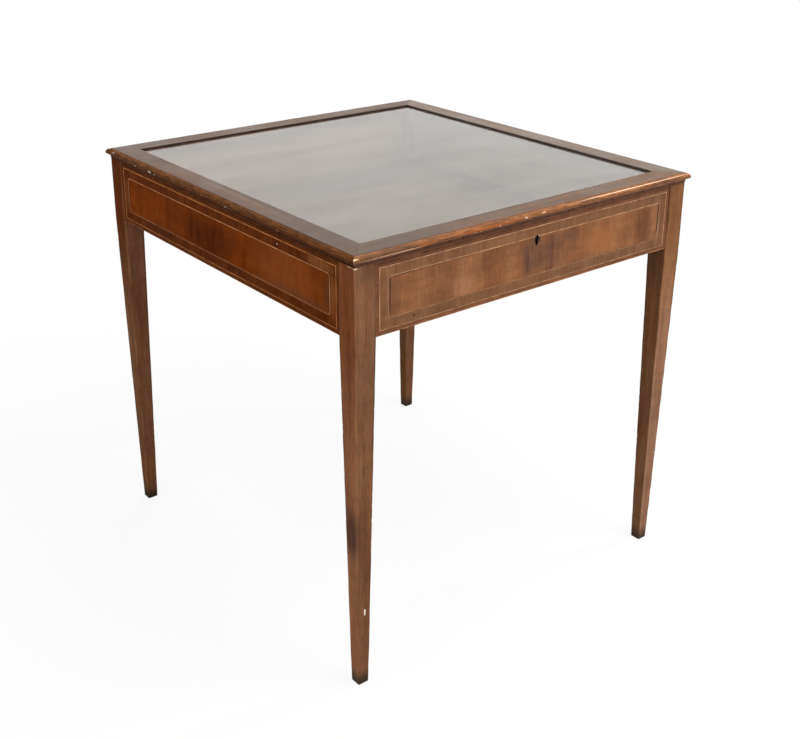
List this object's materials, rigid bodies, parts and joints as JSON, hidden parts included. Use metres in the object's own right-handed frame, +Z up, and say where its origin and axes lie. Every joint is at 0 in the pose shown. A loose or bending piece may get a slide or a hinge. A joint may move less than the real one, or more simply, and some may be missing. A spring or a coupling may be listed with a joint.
{
  "type": "collectors display table",
  "caption": "Square display table with a hinged, glazed lid over a shallow locking case, inlaid aprons and tapered square legs.",
  "frame": {"origin": "on the floor, under the middle of the table's overall box", "axes": "+Z up; -Y is the front, where the keyhole is; the lid is hinged along the +Y side; +X is to the right of someone who faces the front from outside"},
  "size_m": [0.744, 0.789, 0.75],
  "materials": {
    "leg_mahogany": "old waxed mahogany, worn at the arrises",
    "case_mahogany": "bare mahogany core, stained",
    "border_mahogany": "waxed mahogany veneer",
    "crossbanding": "crossbanding of a lighter wood, grain across the band",
    "stringing": "light holly or boxwood stringing, yellowed",
    "field_mahogany": "faded mahogany veneer with upright figure",
    "bottom_pine": "stained softwood boards",
    "lid_mahogany": "waxed mahogany, faded and worn at the moulding",
    "bead_mahogany": "mahogany glazing beads",
    "spline_wood": "glued mitre splines",
    "clear_glass": "clear float glass, slightly dusty",
    "hinge_brass": "tarnished brass",
    "lock_brass": "tarnished brass",
    "lock_steel": "dull steel"
  },
  "bodies": {
    "case": {"bottom_board_1": "bottom_pine", "bottom_board_2": "bottom_pine", "bottom_board_3": "bottom_pine", "front_apron_core": "case_mahogany", "front_border_veneer": "border_mahogany", "front_crossbanding": "crossbanding", "front_field_veneer": "field_mahogany", "front_inner_stringing": "stringing", "front_outer_stringing": "stringing", "hinge_left_case_leaf": "hinge_brass", "hinge_left_pin": "hinge_brass", "hinge_right_case_leaf": "hinge_brass", "hinge_right_pin": "hinge_brass", "keyhole_liner": "lock_brass", "left_apron_core": "case_mahogany", "left_border_veneer": "border_mahogany", "left_crossbanding": "crossbanding", "left_field_veneer": "field_mahogany", "left_inner_stringing": "stringing", "left_outer_stringing": "stringing", "leg_front_left": "leg_mahogany", "leg_front_right": "leg_mahogany", "leg_rear_left": "leg_mahogany", "leg_rear_right": "leg_mahogany", "lock_box": "lock_steel", "lock_key_pin": "lock_steel", "lock_plate": "lock_brass", "rear_apron_core": "case_mahogany", "rear_border_veneer": "border_mahogany", "rear_crossbanding": "crossbanding", "rear_field_veneer": "field_mahogany", "rear_inner_stringing": "stringing", "rear_outer_stringing": "stringing", "right_apron_core": "case_mahogany", "right_border_veneer": "border_mahogany", "right_crossbanding": "crossbanding", "right_field_veneer": "field_mahogany", "right_inner_stringing": "stringing", "right_outer_stringing": "stringing"},
    "lid": {"glass_pane": "clear_glass", "glazing_bead_front": "bead_mahogany", "glazing_bead_left": "bead_mahogany", "glazing_bead_rear": "bead_mahogany", "glazing_bead_right": "bead_mahogany", "hinge_left_lid_leaf": "hinge_brass", "hinge_right_lid_leaf": "hinge_brass", "lid_front_rail": "lid_mahogany", "lid_left_rail": "lid_mahogany", "lid_rear_rail": "lid_mahogany", "lid_right_rail": "lid_mahogany", "link_plate": "lock_brass", "mitre_splines": "spline_wood"},
    "bolt": {"lock_bolt": "lock_brass", "lock_spring": "lock_steel"}
  },
  "joints": [
    {"name": "lid_hinge", "type": "hinge", "parent": "case", "child": "lid", "pos_m": [0, 0.3903, 0.7323], "axis": [-1, 0, 0], "range_deg": [0, 95]},
    {"name": "bolt_slide", "type": "slide", "parent": "case", "child": "bolt", "axis": [1, 0, 0], "range_m": [0, 0.006]}
  ]
}
